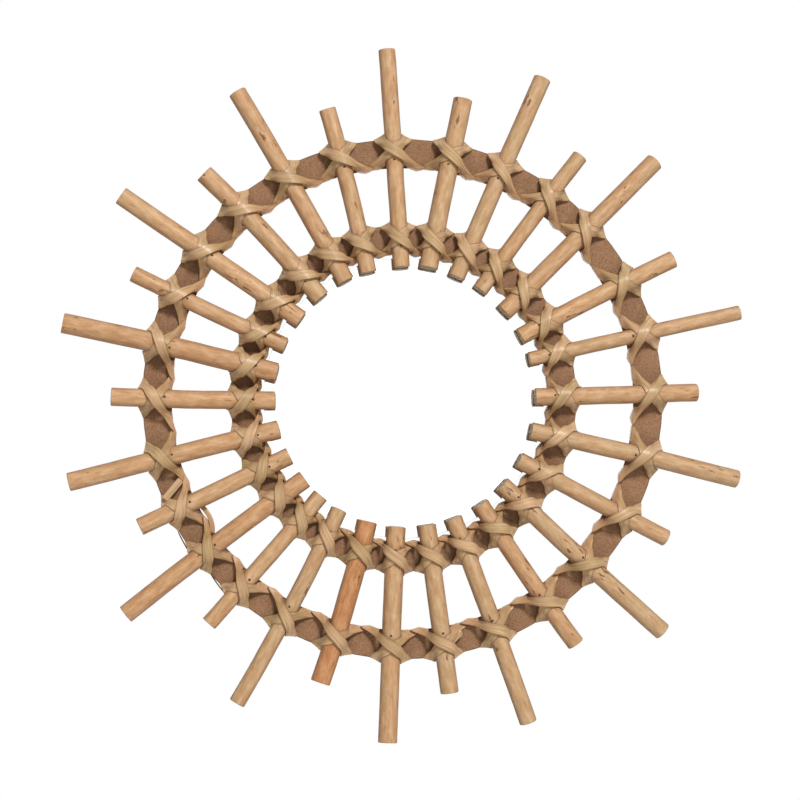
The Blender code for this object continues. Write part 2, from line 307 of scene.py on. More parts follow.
def rattan_material():
    """Peeled rattan: long fibres, brown specks and dashes, and a greyer, porous cut face."""
    material, tree, shader = new_material("rattan_cane", 0.55, specular=0.35)
    place = attribute(tree, "cane_place")
    tone = attribute(tree, "cane_tone", "Fac")
    warmth = attribute(tree, "cane_warmth", "Fac")
    cut = attribute(tree, "cane_cut", "Fac")
    side_shade = attribute(tree, "cane_side_shade", "Fac")

    fibres = fibre_noise(tree, place, (1100.0, 1100.0, 60.0), 4.0, 0.65)
    mottle = fibre_noise(tree, place, (420.0, 420.0, 130.0), 4.0, 0.6)
    drift = fibre_noise(tree, place, (90.0, 90.0, 38.0), 2.0)

    yellow = ramp(tree, mottle, 0.28, 0.72,
                  linear(180, 141, 97), linear(199, 163, 121), linear(215, 184, 146))
    orange = ramp(tree, mottle, 0.28, 0.72,
                  linear(182, 131, 86), linear(203, 156, 112), linear(220, 180, 139))
    lean = math_node(tree, "ADD", warmth, math_node(tree, "MULTIPLY_ADD", drift, 1.6, -0.8))
    colour = mix(tree, between(tree, lean, 0.0, 1.0), yellow, orange)
    deep = ramp(tree, mottle, 0.28, 0.72,
                linear(160, 96, 50), linear(196, 130, 78), linear(214, 152, 100))
    colour = mix(tree, between(tree, warmth, 1.0, 2.0), colour, deep)
    shade = math_node(tree, "MULTIPLY_ADD", tone, 0.32, 0.72)
    shade = math_node(tree, "MULTIPLY", shade, between(tree, fibres, 0.25, 0.75, 0.93, 1.05))
    colour = scaled(tree, colour, shade)
    # Painted shade: the colour darkens towards the cane's sides, where they turn away from the
    # front
    colour = mix(tree, math_node(tree, "MULTIPLY", side_shade, 0.62), colour, linear(122, 78, 50))

    patches = fibre_noise(tree, place, (60.0, 60.0, 24.0), 1.0)
    dashes = fibre_noise(tree, place, (460.0, 460.0, 130.0), 3.0, 0.55)
    often = between(tree, patches, 0.5, 0.62, -0.02, 0.11)
    dashes = between(tree, math_node(tree, "ADD", dashes, often), 0.68, 0.76, 0.0, 0.9)
    stains = fibre_noise(tree, place, (230.0, 230.0, 80.0), 3.0, 0.6)
    stains = between(tree, stains, 0.60, 0.78, 0.0, 0.6)
    colour = mix(tree, stains, colour, linear(158, 108, 64))
    colour = mix(tree, dashes, colour, linear(112, 70, 38))

    pores = fibre_noise(tree, place, (2200.0, 2200.0, 300.0), 2.0, 0.6)
    pith = ramp(tree, pores, 0.35, 0.75,
                linear(126, 108, 86), linear(172, 152, 124), linear(198, 180, 150))
    colour = mix(tree, cut, colour, pith)
    dress(tree, shader, colour, fibres, 0.62, 0.48)
    relief = math_node(tree, "SUBTRACT", fibres, math_node(tree, "MULTIPLY", dashes, 0.6))
    bump(tree, shader, relief, 0.07 * MM, 0.7)
    return material


def peel_material(inner, outer):
    """Split peel: flat bands with fibres along them, darker along both edges, and browner
    towards the inner edge of each of the two rings."""
    material, tree, shader = new_material("rattan_peel_band", 0.5, specular=0.4)
    run = out(tree, "ShaderNodeUVMap", uv_map="peel_run")
    axes = add_node(tree, "ShaderNodeSeparateXYZ", {"Vector": run})
    across, along = axes.outputs["X"], axes.outputs["Y"]
    fibres = fibre_noise(tree, run, (1700.0, 70.0, 1.0), 4.0, 0.65)
    streaks = fibre_noise(tree, run, (600.0, 24.0, 1.0), 2.0)
    drift = fibre_noise(tree, run, (40.0, 11.0, 1.0), 2.0)
    beige = ramp(tree, fibres, 0.28, 0.72,
                 linear(174, 134, 96), linear(200, 162, 122), linear(219, 185, 148))
    olive = ramp(tree, fibres, 0.28, 0.72,
                 linear(147, 116, 78), linear(181, 149, 105), linear(203, 174, 130))
    colour = mix(tree, between(tree, drift, 0.35, 0.65), olive, beige)
    colour = scaled(tree, colour, between(tree, streaks, 0.3, 0.7, 0.86, 1.06))
    place = object_place(tree)
    reach = vector_node(tree, "LENGTH", place)
    on_outer = math_node(tree, "GREATER_THAN", reach, (inner.outer + outer.inner) / 2)
    inner_foot = between(tree, reach, inner.inner, inner.middle, 0.5, 0.0)
    outer_foot = between(tree, reach, outer.inner, outer.middle, 0.5, 0.0)
    outer_foot = math_node(tree, "MULTIPLY", on_outer, outer_foot)
    foot = math_node(tree, "ADD", inner_foot, outer_foot)
    colour = mix(tree, foot, colour, linear(174, 126, 84))
    edge = math_node(tree, "ABSOLUTE", across)
    colour = mix(tree, between(tree, edge, 0.40 * PEEL_WIDTH, 0.52 * PEEL_WIDTH, 0.0, 0.65),
                 colour, linear(122, 88, 54))
    specks = fibre_noise(tree, run, (700.0, 300.0, 1.0), 3.0, 0.6)
    colour = mix(tree, between(tree, specks, 0.70, 0.80, 0.0, 0.7), colour, linear(120, 84, 48))
    dress(tree, shader, colour, fibres, 0.44, 0.32)
    bump(tree, shader, fibres, 0.1 * MM, 0.8)
    return material


def shaded_thread_material():
    """Threads split off the inside of the peel, coloured dark grey as painted shade for the shadow
    they lie in beside the ring's edge.
    """
    material, tree, shader = new_material("peel_thread_painted_shade", 0.8, specular=0.2)
    run = out(tree, "ShaderNodeUVMap", uv_map="peel_run")
    fibres = fibre_noise(tree, run, (900.0, 160.0, 1.0), 3.0, 0.6)
    # Painted shade: the dark grey stands for the shadow beside the ring's edge
    colour = ramp(tree, fibres, 0.3, 0.7, linear(66, 54, 46), linear(122, 102, 84))
    dress(tree, shader, colour, fibres, 0.9, 0.7)
    return material


def fibreboard_material():
    """Pressed brown fibreboard: matt, with short pale and dark fibres."""
    material, tree, shader = new_material("fibreboard", 0.9, specular=0.2)
    place = object_place(tree)
    grains = noise_node(tree, place, 1500.0, 4.0, 0.7)
    clouds = noise_node(tree, place, 90.0, 3.0, 0.6)
    hairs = fibre_noise(tree, place, (2400.0, 900.0, 500.0), 3.0, 0.6)
    colour = ramp(tree, grains, 0.3, 0.7,
                  linear(120, 85, 60), linear(148, 111, 83), linear(168, 132, 103))
    colour = scaled(tree, colour, between(tree, clouds, 0.3, 0.7, 0.90, 1.08))
    colour = mix(tree, between(tree, hairs, 0.66, 0.74, 0.0, 0.5), colour,
                 linear(196, 164, 134))
    dress(tree, shader, colour, grains, 0.95, 0.82)
    bump(tree, shader, grains, 0.15 * MM, 0.9)
    return material


def sawn_and_shaded_edge_material():
    """The boards' edges, rougher than the faces and darker: partly the sawn board's own colour,
    partly painted shade for the shadow along the rings' edges.
    """
    material, tree, shader = new_material("sawn_fibreboard_edge_and_painted_shade", 0.95, specular=0.1)
    grains = noise_node(tree, object_place(tree), 1300.0, 3.0, 0.7)
    # Partly painted shade: these edge colours sit well below the faces' to stand for the shadow on
    # the walls
    colour = ramp(tree, grains, 0.3, 0.7, linear(66, 42, 28), linear(104, 72, 52))
    dress(tree, shader, colour, grains, 0.98, 0.86)
    bump(tree, shader, grains, 0.15 * MM, 0.9)
    return material


def hardboard_material():
    """The back board: smooth brown hardboard with darker flecks."""
    material, tree, shader = new_material("back_hardboard", 0.8, specular=0.25)
    place = object_place(tree)
    flecks = noise_node(tree, place, 700.0, 4.0, 0.7)
    clouds = noise_node(tree, place, 30.0, 3.0, 0.6)
    colour = ramp(tree, flecks, 0.3, 0.72,
                  linear(96, 68, 48), linear(128, 94, 68), linear(150, 116, 88))
    colour = scaled(tree, colour, between(tree, clouds, 0.3, 0.7, 0.90, 1.08))
    dress(tree, shader, colour, flecks, 0.86, 0.7)
    bump(tree, shader, flecks, 0.08 * MM, 0.8)
    return material


def clear_glass_material():
    """The glass in front of the silver: clear, with the faintest green."""
    material, tree, shader = new_material("clear_glass", 0.0, specular=0.5)
    shader.inputs["Transmission Weight"].default_value = 1.0
    shader.inputs["IOR"].default_value = 1.5
    waves = noise_node(tree, object_place(tree), 12.0, 1.0)
    colour = ramp(tree, waves, 0.3, 0.7, (0.975, 0.99, 0.985, 1.0), (0.985, 0.995, 0.99, 1.0))
    tree.links.new(colour, shader.inputs["Base Color"])
    return material


def silver_material():
    """The silvered back of the glass, with the faintest unevenness in the gloss."""
    material, tree, shader = new_material("silvered_glass", 0.01, metallic=1.0)
    haze = noise_node(tree, object_place(tree), 25.0, 3.0, 0.6)
    colour = ramp(tree, haze, 0.3, 0.7, (0.93, 0.94, 0.94, 1.0), (0.96, 0.965, 0.965, 1.0))
    dress(tree, shader, colour, haze, 0.0, 0.01)
    return material


def backing_paint_material():
    """Grey paint that covers the silver from behind, a little brushed."""
    material, tree, shader = new_material("backing_paint", 0.7, specular=0.3)
    brush = fibre_noise(tree, object_place(tree), (60.0, 60.0, 900.0), 3.0, 0.6)
    colour = ramp(tree, brush, 0.3, 0.7, linear(92, 88, 82), linear(118, 113, 105))
    dress(tree, shader, colour, brush, 0.6, 0.8)
    return material


def brad_material():
    """Dark steel heads with a little brown rust."""
    material, tree, shader = new_material("brad_steel", 0.5, metallic=0.6)
    rust = noise_node(tree, object_place(tree), 1600.0, 3.0, 0.6)
    colour = ramp(tree, rust, 0.35, 0.65, linear(54, 42, 34), linear(98, 66, 44))
    dress(tree, shader, colour, rust, 0.4, 0.8)
    return material


# What the CAD nodes say

def corners_of(node):
    """The unique corners of a CAD node's mesh."""
    corners = np.array([vertex.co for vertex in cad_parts[node].data.vertices])
    return np.unique(np.round(corners, 6), axis=0)


class RingSize:
    """Inner and outer radius, and depth of the back and front face, of a turned node."""

    def __init__(self, node):
        corners = corners_of(node)
        radii = np.hypot(corners[:, 0], corners[:, 2])
        self.inner, self.outer = float(radii.min()), float(radii.max())
        self.back, self.front = float(-corners[:, 1].max()), float(-corners[:, 1].min())
        self.middle = (self.inner + self.outer) / 2


class CaneLine:
    """The line and thickness of one cane, read from its node's foot, waist and tip."""

    SAMPLES = 33

    def __init__(self, index):
        self.node = f"stick_{index + 1:02d}"
        corners = corners_of(self.node)
        outward = corners.mean(axis=0) * (1.0, 0.0, 1.0)
        outward /= np.linalg.norm(outward)
        along = corners @ outward
        station = np.round(2 * (along - along.min()) / np.ptp(along))
        foot, tip = (Vector(corners[station == s].mean(axis=0)) for s in (0, 2))
        at_waist = corners[station == 1]
        waist = Vector(at_waist.mean(axis=0)) if len(at_waist) else (foot + tip) / 2
        to_waist, to_tip = (waist - foot).length, (tip - waist).length
        self.foot, self.waist, self.tip = foot, waist, tip
        self.waist_share = to_waist / (to_waist + to_tip)
        self.radius = float(np.linalg.norm(corners[station == 0] - foot, axis=1).max())
        self.depth = -foot.y
        line = [self.place(step / (self.SAMPLES - 1)) for step in range(self.SAMPLES)]
        self.radii = [math.hypot(p.x, p.z) for p in line]
        self.bearings = np.unwrap([math.atan2(p.x, p.z) for p in line])

    def place(self, share):
        """A point on the line, from 0 at the foot to 1 at the tip."""
        waist = self.waist_share
        at_foot = (share - waist) * (share - 1) / waist
        at_waist = share * (share - 1) / (waist * (waist - 1))
        at_tip = share * (share - waist) / (1 - waist)
        return at_foot * self.foot + at_waist * self.waist + at_tip * self.tip

    def bearing(self, radius):
        return float(np.interp(radius, self.radii, self.bearings))


canes = [CaneLine(index) for index in range(CANE_COUNT)]
inner_size = RingSize("inner_ring")
outer_size = RingSize("outer_ring")
glass_size = RingSize("mirror_glass")


# Geometry Nodes helpers

def new_tree(name, inputs):
    """A geometry tree with one geometry going in and out, and named inputs."""
    tree = bpy.data.node_groups.new(name, "GeometryNodeTree")
    tree.interface.new_socket("Geometry", in_out="INPUT", socket_type="NodeSocketGeometry")
    for label, kind in inputs:
        tree.interface.new_socket(label, in_out="INPUT", socket_type=f"NodeSocket{kind}")
    tree.interface.new_socket("Geometry", in_out="OUTPUT", socket_type="NodeSocketGeometry")
    return tree, tree.nodes.new("NodeGroupInput").outputs


def close_tree(tree, geometry, material):
    """Ends a tree in Realize Instances and Set Material."""
    real = out(tree, "GeometryNodeRealizeInstances", {"Geometry": geometry})
    painted = out(tree, "GeometryNodeSetMaterial", {"Geometry": real, "Material": material})
    add_node(tree, "NodeGroupOutput", {"Geometry": painted})


def capture(tree, geometry, kind, value, domain="POINT"):
    """The geometry with a field kept on it, and the kept field."""
    made = tree.nodes.new("GeometryNodeCaptureAttribute")
    made.domain = domain
    made.capture_items.new(kind, "kept")
    tree.links.new(geometry, made.inputs["Geometry"])
    tree.links.new(value, made.inputs[1])
    return made.outputs["Geometry"], made.outputs[1]


def store(tree, geometry, kind, name, value, domain="POINT"):
    return out(tree, "GeometryNodeStoreNamedAttribute", {
        "Geometry": geometry, "Name": name, "Value": value,
    }, data_type=kind, domain=domain)


def moved(tree, geometry, offset):
    return out(tree, "GeometryNodeSetPosition", {"Geometry": geometry, "Offset": offset})


def grow(source, name, tree, values):
    """The plain mesh that a tree makes of an object with these inputs. The object is used up."""
    modifier = source.modifiers.new(name, "NODES")
    modifier.node_group = tree
    for socket in tree.interface.items_tree:
        if socket.in_out == "INPUT" and socket.name in values:
            modifier[socket.identifier] = values[socket.name]
    bpy.context.view_layer.update()
    evaluated = source.evaluated_get(bpy.context.evaluated_depsgraph_get())
    mesh = bpy.data.meshes.new_from_object(evaluated)
    mesh.name = name
    source.modifiers.remove(modifier)
    bpy.data.objects.remove(source)
    return mesh


def add_object(name, data):
    made = bpy.data.objects.new(name, data)
    bpy.context.scene.collection.objects.link(made)
    return made


def mesh_of(shape, name):
    """The mesh of a closed bmesh, which is used up, with its faces turned outwards."""
    bmesh.ops.recalc_face_normals(shape, faces=shape.faces)
    mesh = bpy.data.meshes.new(name)
    shape.to_mesh(mesh)
    shape.free()
    return mesh


def shade_round(mesh, angle):
    """Smooth shading with edges sharper than the angle kept."""
    mesh.polygons.foreach_set("use_smooth", [True] * len(mesh.polygons))
    mesh.set_sharp_from_angle(angle=angle)


def finish_piece(name, mesh, slot, *nodes):
    """A finished piece at the origin that rides on the body and stands for CAD nodes."""
    piece = add_object(name, mesh)
    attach(piece, "root")
    if nodes:
        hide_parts(*nodes)


# Canes

def cane_tree():
    """A path becomes a cane: a slightly crooked round rod with relief and rough cut ends."""
    tree, given = new_tree("rattan_cane", [
        ("Cane radius", "Float"), ("Facets", "Int"), ("Spacing", "Float"), ("Seed", "Float"),
        ("Crookedness", "Float"), ("Swelling", "Float"), ("Relief", "Float"),
        ("End bevel", "Float"), ("End cut", "Vector"), ("Tone", "Float"),
        ("Warmth", "Float"), ("Finish", "Material"),
    ])
    radius, bevel, seed = given["Cane radius"], given["End bevel"], given["Seed"]
    here = out(tree, "GeometryNodeInputPosition")
    tangent = out(tree, "GeometryNodeInputTangent")
    normal = out(tree, "GeometryNodeInputNormal")
    along = tree.nodes.new("GeometryNodeSplineParameter").outputs["Length"]

    flowing = out(tree, "GeometryNodeCurveSplineType", {"Curve": given["Geometry"]},
                  spline_type="CATMULL_ROM")
    length = out(tree, "GeometryNodeCurveLength", {"Curve": flowing})
    bevel_share = math_node(tree, "DIVIDE", bevel, length)
    trimmed = out(tree, "GeometryNodeTrimCurve", {
        "Curve": flowing, "Start": bevel_share,
        "End": math_node(tree, "SUBTRACT", 1.0, bevel_share),
    })
    fine = out(tree, "GeometryNodeResampleCurve", {
        "Curve": trimmed, "Length": given["Spacing"],
    }, mode="LENGTH")

    own_line = combined(tree, x=seed, z=along)
    wander = noise_node(tree, own_line, 32.0, 1.0, output="Color")
    wander = vector_node(tree, "SUBTRACT", wander, (0.5, 0.5, 0.5))
    wander = vector_node(tree, "MULTIPLY", wander, (1.0, 0.3, 1.0))
    crooked = moved(tree, fine, scaled(tree, wander, given["Crookedness"]))

    swell = noise_node(tree, vector_node(tree, "ADD", own_line, (7.0, 0.0, 0.0)), 45.0, 2.0)
    swell = math_node(tree, "MULTIPLY", math_node(tree, "SUBTRACT", swell, 0.5),
                      given["Swelling"])
    thick = math_node(tree, "MULTIPLY", radius,
                      math_node(tree, "SUBTRACT", 1.0, math_node(tree, "ABSOLUTE", swell)))

    rail, centre = capture(tree, crooked, "VECTOR", here)
    rail, direction = capture(tree, rail, "VECTOR", tangent)
    rail, side = capture(tree, rail, "VECTOR", normal)
    rail, reached = capture(tree, rail, "FLOAT", along)
    circle = out(tree, "GeometryNodeCurvePrimitiveCircle", {
        "Resolution": given["Facets"], "Radius": 1.0,
    })
    rod = out(tree, "GeometryNodeCurveToMesh", {
        "Curve": rail, "Profile Curve": circle, "Scale": thick, "Fill Caps": True,
    })

    ends = out(tree, "GeometryNodeSetShadeSmooth", {0: rod})
    top = out(tree, "FunctionNodeCompare", {
        "A": out(tree, "GeometryNodeInputMeshFaceArea"),
        "B": math_node(tree, "MULTIPLY", radius, radius),
    }, operation="GREATER_THAN")
    for rise, share in CUT_RINGS:
        raised = add_node(tree, "GeometryNodeExtrudeMesh", {
            "Mesh": ends, "Selection": top, "Individual": False,
            "Offset Scale": math_node(tree, "MULTIPLY", bevel, rise),
        }).outputs
        ends = out(tree, "GeometryNodeScaleElements", {
            "Geometry": raised["Mesh"], "Selection": raised["Top"], "Scale": share,
        }, domain="FACE")
        ends, top = capture(tree, ends, "BOOLEAN", raised["Top"], "FACE")
        if rise:
            ends, cut_face = capture(tree, ends, "BOOLEAN", raised["Top"], "FACE")

    offset = vector_node(tree, "SUBTRACT", here, centre)
    third = vector_node(tree, "CROSS_PRODUCT", direction, side)
    aside, aslant, ahead = (vector_node(tree, "DOT_PRODUCT", offset, axis)
                            for axis in (side, third, direction))
    local = combined(tree, aside, aslant, math_node(tree, "ADD", reached, ahead))
    local = vector_node(tree, "ADD", local, combined(tree, x=seed, y=seed))
    ends, local = capture(tree, ends, "VECTOR", local)

    grain = fibre_noise(tree, local, (420.0, 420.0, 110.0), 3.0, 0.55)
    grain = math_node(tree, "MULTIPLY", math_node(tree, "SUBTRACT", grain, 0.5),
                      given["Relief"])
    # Painted shade: faces turned sideways, away from front and back, are marked to be coloured
    # darker
    facing = vector_node(tree, "DOT_PRODUCT", normal, (0.0, -1.0, 0.0))
    facing = math_node(tree, "ABSOLUTE", facing)
    ends = store(tree, ends, "FLOAT", "cane_side_shade", between(tree, facing, 0.15, 0.85, 1.0, 0.0))
    ends = moved(tree, ends, scaled(tree, normal, grain))

    near_foot = between(tree, reached, 0.0, FOOT_CUT_REACH, 1.0, 0.0)
    near_tip = between(tree, math_node(tree, "SUBTRACT", length, reached),
                       0.0, TIP_CUT_REACH, 1.0, 0.0)
    slant = add_node(tree, "ShaderNodeSeparateXYZ", {"Vector": given["End cut"]}).outputs
    foot_pull = math_node(tree, "MULTIPLY", slant["X"], math_node(tree, "ADD", radius, aside))
    tip_pull = math_node(tree, "MULTIPLY", slant["Y"], math_node(tree, "SUBTRACT", aside, radius))
    pull = math_node(tree, "MULTIPLY_ADD", near_tip, tip_pull,
                     math_node(tree, "MULTIPLY", near_foot, foot_pull))
    ends = moved(tree, ends, scaled(tree, direction, pull))

    ends = store(tree, ends, "FLOAT_VECTOR", "cane_place", local)
    ends = store(tree, ends, "FLOAT", "cane_tone", given["Tone"])
    ends = store(tree, ends, "FLOAT", "cane_warmth", given["Warmth"])
    ends = store(tree, ends, "FLOAT", "cane_cut", cut_face, "FACE")
    close_tree(tree, ends, given["Finish"])
    return tree


def make_canes(material):
    tree = cane_tree()
    chance = random.Random(END_CUT_SEED)
    for index, cane in enumerate(canes):
        curve = bpy.data.curves.new(f"cane_path_{index + 1:02d}", "CURVE")
        curve.dimensions = "3D"
        spline = curve.splines.new("POLY")
        spline.points.add(CANE_PATH_STEPS)
        for step, spline_point in enumerate(spline.points):
            spline_point.co = (*cane.place(step / CANE_PATH_STEPS), 1.0)
        tone, warmth = CANE_FINISH[index]
        mesh = grow(add_object(curve.name, curve), f"cane_{index + 1:02d}", tree, {
            "Cane radius": cane.radius,
            "Facets": CANE_FACETS,
            "Spacing": CANE_SPACING,
            "Seed": CANE_SEED_STEP * index,
            "Crookedness": CANE_CROOKEDNESS,
            "Swelling": CANE_SWELLING,
            "Relief": CANE_RELIEF,
            "End bevel": CANE_BEVEL,
            "End cut": (chance.uniform(0.0, FOOT_SLANT), chance.uniform(0.0, TIP_SLANT), 0.0),
            "Tone": tone,
            "Warmth": warmth,
            "Finish": material,
        })
        finish_piece(f"cane_{index + 1:02d}", mesh, "rattan_stick", cane.node)


# Lashings

def smooth(share):
    share = min(max(share, 0.0), 1.0)
    return share * share * (3 - 2 * share)


class Tent:
    """The section of a taut band over a cane: flat on the board, up, round the cane and down.

    A place along it runs from 0 at the left foot's middle to its run at the right one's.
    """

    FLAT_SHARE = 0.34
    FLAT_RISE = 0.25
    WING_RISE = 3.5 * MM
    WING_FADE = 1.3

    def __init__(self, left_foot, right_foot, body, bare_body, centre, lift):
        self.left_foot, self.right_foot = left_foot, right_foot
        self.body, self.bare_body, self.centre, self.lift = body, bare_body, centre, lift
        rise = centre - lift
        slopes, straights = [], []
        for foot in (left_foot, right_foot):
            span = math.hypot(rise, foot)
            slopes.append(math.atan2(rise, foot) + math.asin(min(body / span, 1.0)))
            straights.append(math.sqrt(max(span * span - body * body, 0.0)))
        self.left_slope, self.right_slope = slopes
        self.left_straight, self.right_straight = straights
        self.arc = body * sum(slopes)
        self.run = sum(straights) + self.arc

    def point(self, along):
        """Distance across from the cane's line and height over the board."""
        if along < 0:
            return -self.left_foot + along, self.lift
        if along < self.left_straight:
            return (-self.left_foot + along * math.cos(self.left_slope),
                    self.lift + along * math.sin(self.left_slope))
        if along < self.left_straight + self.arc:
            angle = self.left_slope - (along - self.left_straight) / self.body
            return -self.body * math.sin(angle), self.centre + self.body * math.cos(angle)
        rest = self.run - along
        if rest > 0:
            return (self.right_foot - rest * math.cos(self.right_slope),
                    self.lift + rest * math.sin(self.right_slope))
        return self.right_foot - rest, self.lift

    def flattened(self, share, offset, nearness):
        """A point of the band, which turns flat on to the board towards its feet, but at
        the left foot stays up against the cane on its near side."""
        middle = share * self.run
        across, height = self.point(middle + offset)
        left = smooth(1 - share / self.FLAT_SHARE)
        weight = max(left, smooth(1 - (1 - share) / self.FLAT_SHARE))
        middle_across, middle_height = self.point(middle)
        flat_height = self.lift + (middle_height - self.lift) * (1 - weight * (1 - self.FLAT_RISE))
        flat_height += left * self.WING_RISE * nearness ** self.WING_FADE
        across += weight * (middle_across + offset - across)
        height += weight * (flat_height - height)
        out = math.hypot(across, height - self.centre)
        least = self.bare_body + (self.body - self.bare_body) * smooth(share / self.FLAT_SHARE)
        if out < least:
            across *= least / out
            height = self.centre + (height - self.centre) * least / out
        return across, max(height, self.lift)


class Band:
    """One band of peel round a ring and over every cane on it, as rows of cross-lines.

    Along the front each cross-line lies at one radius, and the band is a straight strip on
    the surface of a taut tent over the cane, whose unrolled width is its run.
    """

    def __init__(self, size, feet, crossed, is_over, seed):
        self.size, self.crossed = size, crossed
        self.outer_start, self.inner_foot = feet
        self.side = 1 if is_over else -1
        self.layer = 1 if is_over else 0
        self.chance = random.Random(seed)
        self.outline = np.linspace(-0.5, 0.5, PEEL_COLUMNS)

    def place(self, index, across, radius, depth):
        bearing = canes[index].bearing(radius) + self.side * across / radius
        return sun_point(bearing, radius, depth)

    def tuck(self, column):
        """How much less than its own layer a place across the band stands out at the inner
        edge, which rounds the outline there."""
        return self.layer * PEEL_LAYER * min(abs(column - BULGE_MIDDLE) / BULGE_REACH, 1.0)

    def rows_at(self, index):
        """The cross-lines of one turn: up the outer edge, over the cane, down the inner."""
        cane = canes[index]
        layer = 1 - self.layer if index in self.crossed else self.layer
        off = PEEL_GAP + layer * PEEL_LAYER
        own = PEEL_GAP + self.layer * PEEL_LAYER
        body = cane.radius + off + PEEL_SLACK * (1 + layer)
        tent = Tent(
            cane.radius + self.outer_start
            + PEEL_WIDTH / 2 * self.chance.uniform(*OUTER_FOOT_STRAY),
            self.inner_foot * self.chance.uniform(*INNER_FOOT_STRAY),
            body, cane.radius + PEEL_GAP, cane.depth - self.size.front,
            off + layer * CROSSING_LIFT,
        )
        inner, outer = self.size.inner - own, self.size.outer + PEEL_GAP
        drop = outer - inner
        cross = PEEL_WIDTH * math.hypot(tent.run, drop) / drop
        front, back = self.size.front, self.size.back - own
        rows = []
        for step in range(FRONT_STEPS + 1):
            share = step / FRONT_STEPS
            bulging = max(1 - share / BULGE_SHARE, 0.0) ** 2
            width = PEEL_WIDTH + (cross - PEEL_WIDTH) * min(share / GATHER_SHARE, 1.0)
            row = []
            for column in self.outline:
                across, height = tent.flattened(share, column * width, column + 0.5)
                bulge = OUTER_BULGE * min(height - tent.lift, BULGE_HEIGHT) * bulging
                tuck = self.tuck(column) * smooth(1 - (1 - share) / TUCK_SHARE)
                radius = outer - share * drop + max(bulge, 0.0) + tuck
                row.append(self.place(index, across, radius, front + height))
            rows.append(row)
        first = [self.place(index, -tent.left_foot + column * PEEL_WIDTH, outer, back)
                 for column in self.outline]
        last = [self.place(index, tent.right_foot + column * PEEL_WIDTH,
                           inner + self.tuck(column), back)
                for column in self.outline]
        return [first] + rows + [last]

    def rows(self):
        """All turns in order, with rounded corners and fine steps on the back."""
        order = list(range(CANE_COUNT))
        if self.side < 0:
            order.reverse()
        turns = [np.array(self.rows_at(index)) for index in order]
        rows = []
        for number, turn in enumerate(turns):
            following = turns[(number + 1) % CANE_COUNT][0]
            before = turns[number - 1][-1]
            keys = [before, *turn, following]
            rows += rounded(*keys[:3]) + rounded(*keys[1:4])
            rows += list(turn[2:-2])
            rows += rounded(*keys[-4:-1]) + rounded(*keys[-3:])
            for step in range(1, BACK_STEPS):
                share = step / BACK_STEPS
                rows.append(turn[-1] * (1 - share) + following * share)
        return np.array(rows)


def rounded(before, corner, after):
    """Cross-lines that round the corner of a bent strip."""
    def towards(row):
        step = row - corner
        reach = np.linalg.norm(step, axis=1, keepdims=True)
        return corner + step * np.minimum(CORNER_CUT / reach, CORNER_SHARE)

    start, end = towards(before), towards(after)
    rows = []
    for step in range(CORNER_STEPS + 1):
        share = step / CORNER_STEPS
        back = 1 - share
        rows.append(back * back * start + 2 * share * back * corner + share * share * end)
    return rows


def unit(vectors):
    return vectors / np.maximum(np.linalg.norm(vectors, axis=-1, keepdims=True), 1e-9)


def strip_faces(offsets, run, count, closed, flip):
    """The faces round and along a strip, and the place across and along of their corners."""
    around = len(offsets)
    faces, uvs = [], []
    for row in range(count if closed else count - 1):
        following = (row + 1) % count
        for column in range(around):
            beside = (column + 1) % around
            face = [
                (row * around + column, offsets[column], run[row]),
                (row * around + beside, offsets[beside], run[row]),
                (following * around + beside, offsets[beside], run[row + 1]),
                (following * around + column, offsets[column], run[row + 1]),
            ]
            if flip:
                face.reverse()
            faces.append([corner for corner, _, _ in face])
            uvs += [(across, along) for _, across, along in face]
    if not closed:
        for row, turned in ((0, flip), (count - 1, not flip)):
            cap = [row * around + column for column in range(around)]
            if not turned:
                cap.reverse()
            faces.append(cap)
            uvs += [(offsets[corner % around], run[row]) for corner in cap]
    return faces, uvs


def strip_mesh(name, rows, material, closed=True, flip=False):
    """A solid strip over the rows, crowned on top, with its run kept in a UV map."""
    count, columns = rows.shape[:2]
    if closed:
        ahead, behind = np.roll(rows, -1, axis=0), np.roll(rows, 1, axis=0)
    else:
        ahead = np.concatenate([rows[1:], rows[-1:]])
        behind = np.concatenate([rows[:1], rows[:-1]])
    outward = unit(np.cross(unit(ahead - behind), unit(np.gradient(rows, axis=1))))
    if flip:
        outward = -outward
    outline = np.linspace(-1.0, 1.0, columns)
    rise = PEEL_THICKNESS - PEEL_CROWN * np.abs(outline) ** CROWN_POWER
    step_length = np.linalg.norm(ahead - rows, axis=2).mean(axis=1)
    run = np.concatenate([[0.0], np.cumsum(step_length)])
    upper = rows + outward * rise[None, :, None]
    loop = np.concatenate([upper, rows[:, ::-1]], axis=1)
    offsets = np.concatenate([outline, outline[::-1]]) * PEEL_WIDTH / 2
    faces, uvs = strip_faces(offsets, run, count, closed, flip)
    mesh = bpy.data.meshes.new(name)
    mesh.from_pydata(loop.reshape(-1, 3).tolist(), [], faces)
    layer = mesh.uv_layers.new(name="peel_run")
    layer.data.foreach_set("uv", np.array(uvs, dtype=np.float32).ravel())
    shade_round(mesh, PEEL_SHARP)
    mesh.materials.append(material)
    return mesh


def make_lashings(material):
    for ring, size, feet, crossed in (
        ("inner", inner_size, INNER_RING_FEET, ()),
        ("outer", outer_size, OUTER_RING_FEET, CROSSED_THE_OTHER_WAY),
    ):
        for number, (layer, is_over) in enumerate((("under", False), ("over", True))):
            band = Band(size, feet, crossed, is_over, seed=number)
            name = f"{ring}_peel_{layer}"
            mesh = strip_mesh(name, band.rows(), material, flip=is_over)
            finish_piece(name, mesh, "rattan_peel", f"{ring}_lashing_{layer}")


